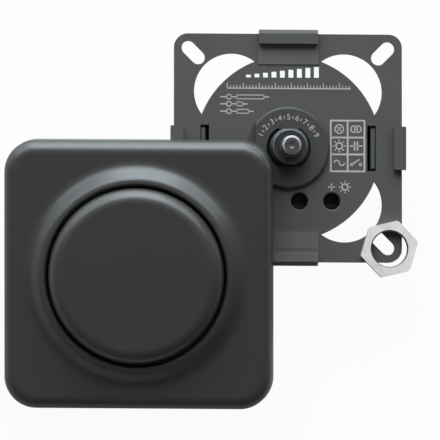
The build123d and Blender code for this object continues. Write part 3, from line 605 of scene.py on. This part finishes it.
end_face_radius, chamfer_foot = spindle_radius - spindle_chamfer, spindle_end - spindle_chamfer
shaft = turned([(0, spindle_end - centre_depth), (centre_radius, spindle_end), (end_face_radius, spindle_end),
                (spindle_radius, chamfer_foot), (spindle_radius, journal_end), (journal_radius, journal_end),
                (journal_radius, groove_top), (groove_radius, groove_top), (groove_radius, groove_foot),
                (journal_radius, groove_foot), (journal_radius, shoulder), (0, shoulder)],
               spindle_steps, False, fine_edge=1, cuts=end_face_cuts)
for face in shaft.faces:
    middle = face.calc_center_median()
    on_chamfer = middle.z > chamfer_foot * mm and middle.xy.length > end_face_radius * mm
    face.material_index = 1 if on_chamfer else 0
tail_top = shoulder + tail_bite
tail_place = Matrix.Translation((0, 0, (tail_top + tail_end) / 2 * mm))
tail_size = Matrix.Diagonal((tail_width * mm, tail_width * mm, (tail_top - tail_end) * mm, 1))
bmesh.ops.create_cube(shaft, size=1, matrix=tail_place @ tail_size)
dark_steel = turned_metal("dark_steel", (0.21, 0.20, 0.20), roughness=0.34, groove=0.16, relief=0.004)
bright_chamfer = turned_metal("bright_chamfer", (0.46, 0.43, 0.42), roughness=0.80, groove=0.10,
                              relief=0.002)
shaft_piece = set_up("turned_shaft", shaft, [dark_steel, bright_chamfer], "spindle")
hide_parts("spindle")


# Cover and knob: the square cap with a raised ring, and the round knob in its well. Both are moulded in
# anthracite plastic and painted satin, so they show a very fine grain and soft broad highlights.
cover_grey = (0.0436, 0.0405, 0.0356)
cover_edge_ease = 0.12
satin_paint = moulded_plastic("satin_paint", cover_grey, roughness=0.33, grain=0.22, relief=0.004,
                              mottle=0.03)
for node in ("cover", "knob"):
    dress(node, satin_paint)
    ease_edges(node, cover_edge_ease)


# Fixing nut: a thin hexagon nut for the bush, pressed from plated steel, with both faces chamfered and a
# tapped hole, painted darker as painted shade inside it. It lies flat on the plate's lower right corner.
nut_flats, nut_thickness = 16.0, 2.4
nut_crest, nut_thread_depth, nut_countersink = 5.5, 0.45, 0.4
nut_face, nut_flank_slope = 9.1, 1.0
nut_turn = 13.5
nut_steps, nut_thread_cuts = 96, 15
nut_merge = 0.002
nut_low, nut_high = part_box("fixing_nut")
nut_centre = Vector(((nut_low.x + nut_high.x) / 2, (nut_low.y + nut_high.y) / 2, nut_low.z))
nut_rim = nut_face + 3 * tell_apart
nut_mouth = nut_crest + nut_countersink
nut = turned([(nut_mouth, 0), (nut_face, 0), (nut_rim, nut_thickness / 3), (nut_rim, nut_thickness * 2 / 3),
              (nut_face, nut_thickness), (nut_mouth, nut_thickness),
              (nut_crest, nut_thickness - nut_countersink), (nut_crest, nut_countersink)],
             nut_steps, True, fine_edge=6, cuts=nut_thread_cuts)
for point in nut.verts:
    radius, angle = hypot(point.co.x, point.co.y), atan2(point.co.y, point.co.x)
    if radius > (nut_face - tell_apart) * mm:
        off_flat = (degrees(angle) - nut_turn) % 60 - 30
        hexagon = nut_flats / 2 / cos(radians(off_flat)) * mm
        upper = point.co.z > nut_thickness / 2 * mm
        if radius > (nut_rim - tell_apart) * mm:
            radius = hexagon
            drop = max(0, hexagon - nut_face * mm) * nut_flank_slope
            point.co.z = nut_thickness * mm - drop if upper else drop
        else:
            radius = min(hexagon, nut_face * mm)
    elif radius < (nut_crest + tell_apart) * mm:
        radius += thread_cut(point, angle, nut_thread_depth)
    point.co.x, point.co.y = radius * cos(angle), radius * sin(angle)
bmesh.ops.remove_doubles(nut, verts=nut.verts, dist=nut_merge * mm)
bmesh.ops.recalc_face_normals(nut, faces=nut.faces)
# The faces of the tapped hole get painted shade, a much darker metal colour.
for face in nut.faces:
    in_hole_painted_shade = face.calc_center_median().xy.length < (nut_crest + nut_thread_depth + tell_apart) * mm
    face.material_index = 1 if in_hole_painted_shade else 0
bmesh.ops.translate(nut, verts=nut.verts, vec=nut_centre)
nut_plating = plated_metal("nut_plating", (0.95, 0.86, 0.815), roughness=0.58, scratch=0.9)
hole_painted_shade = plated_metal("hole_painted_shade", (0.30, 0.28, 0.27), roughness=0.45, scratch=0.5)
nut_piece = set_up("hexagon_nut", nut, [nut_plating, hole_painted_shade], "insert")
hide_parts("fixing_nut")


# Stage: a white floor under the part. The camera sees it white, less the part's own soft shadow, and the
# part's gloss sees it dim. It gives back only a plain share of the light.
floor_size, floor_gap = 3.0, 0.02
paper_grey = (0.6, 0.6, 0.6, 1)
white_to_camera, white_in_gloss = 0.95, 0.12
floor_mesh = bmesh.new()
bmesh.ops.create_grid(floor_mesh, x_segments=1, y_segments=1, size=floor_size / 2,
                      matrix=Matrix.Translation((0, 0, cad_low.z - floor_gap * mm)))
floor_data = bpy.data.meshes.new("floor")
floor_mesh.to_mesh(floor_data)
floor_mesh.free()
floor = bpy.data.objects.new("floor", floor_data)
bpy.context.scene.collection.objects.link(floor)
white = bpy.data.materials.new("white_floor")
white.use_nodes = True
tree = white.node_tree
tree.nodes.remove(tree.nodes["Principled BSDF"])
paper = tree.nodes.new("ShaderNodeBsdfDiffuse")
paper.inputs["Color"].default_value = paper_grey
glow = tree.nodes.new("ShaderNodeEmission")
glow.inputs["Color"].default_value = (1, 1, 1, 1)
glow.inputs["Strength"].default_value = 1
rays = tree.nodes.new("ShaderNodeLightPath").outputs
seen = worked(tree, "MAXIMUM", worked(tree, "MULTIPLY", rays["Is Camera Ray"], white_to_camera),
              worked(tree, "MULTIPLY", rays["Is Glossy Ray"], white_in_gloss))
blend = tree.nodes.new("ShaderNodeMixShader")
tree.links.new(worked(tree, "MAXIMUM", seen, rays["Is Transmission Ray"]), blend.inputs["Fac"])
tree.links.new(paper.outputs["BSDF"], blend.inputs[1])
tree.links.new(glow.outputs["Emission"], blend.inputs[2])
tree.links.new(blend.outputs["Shader"], tree.nodes["Material Output"].inputs["Surface"])
floor_data.materials.append(white)


# Light: a wide soft box stands beyond the upper edge with a narrower one before its middle, so the
# highlights on the slopes that face them fade to both sides. A card on the floor lights the steep edges.
# The surround is weak and even.
cool_white = (0.81, 0.925, 1.0)
surround_strength = 0.17


def soft_box(name, place, aim, width, height, power):
    """A rectangular lamp at a place, turned to its aim. Lengths in metres, power in watts."""
    lamp = bpy.data.lights.new(name, "AREA")
    lamp.shape = "RECTANGLE"
    lamp.size, lamp.size_y = width, height
    lamp.energy = power
    lamp.color = cool_white
    holder = bpy.data.objects.new(name, lamp)
    holder.location = place
    holder.rotation_euler = (Vector(aim) - Vector(place)).to_track_quat("-Z", "Y").to_euler()
    holder.visible_camera = False
    bpy.context.scene.collection.objects.link(holder)


soft_box("wide_soft_box", place=(-0.27, 0.70, 0.48), aim=(-0.27, 0, 0.05),
         width=2.20, height=0.70, power=17.8)
soft_box("middle_soft_box", place=(-0.11, 0.73, 0.36), aim=(-0.11, 0, 0.20),
         width=0.60, height=0.72, power=6.9)
soft_box("floor_card", place=(-0.04, 0.32, cad_low.z), aim=(-0.04, 0.32, 1),
         width=2.00, height=0.50, power=13.0)
surround = bpy.data.worlds.new("surround")
surround.use_nodes = True
sky = surround.node_tree.nodes["Background"]
sky.inputs["Color"].default_value = (1, 1, 1, 1)
sky.inputs["Strength"].default_value = surround_strength
bpy.context.scene.world = surround
bpy.context.scene.view_settings.view_transform = "Standard"


# Camera: a long lens above the part, half-way between the insert's axis and the cover's.
# The image's width is 137 mm at the plate, and its upper edge points along +Y.
frame_width = 136.6 * mm
aim = Vector((-21.4, -22.7, 0)) * mm
camera_distance = 6.0
cover_axis = next(Vector(joint["axis"]) for joint in frame["joints"] if joint["name"] == "knob_turn")
line_of_sight = (cover_axis + Vector((0, 0, 1))).normalized()
upward = (Vector((0, 1, 0)) - line_of_sight * line_of_sight.y).normalized()
sideways = upward.cross(line_of_sight)
lens = bpy.data.cameras.new("long_lens")
lens.sensor_width = 36
lens.lens = lens.sensor_width * camera_distance / frame_width
lens.clip_start, lens.clip_end = 0.05, 20
camera = bpy.data.objects.new("long_lens", lens)
camera.matrix_world = Matrix.Translation(aim + line_of_sight * camera_distance) @ Matrix(
    (sideways, upward, line_of_sight)).transposed().to_4x4()
bpy.context.scene.collection.objects.link(camera)
bpy.context.scene.camera = camera
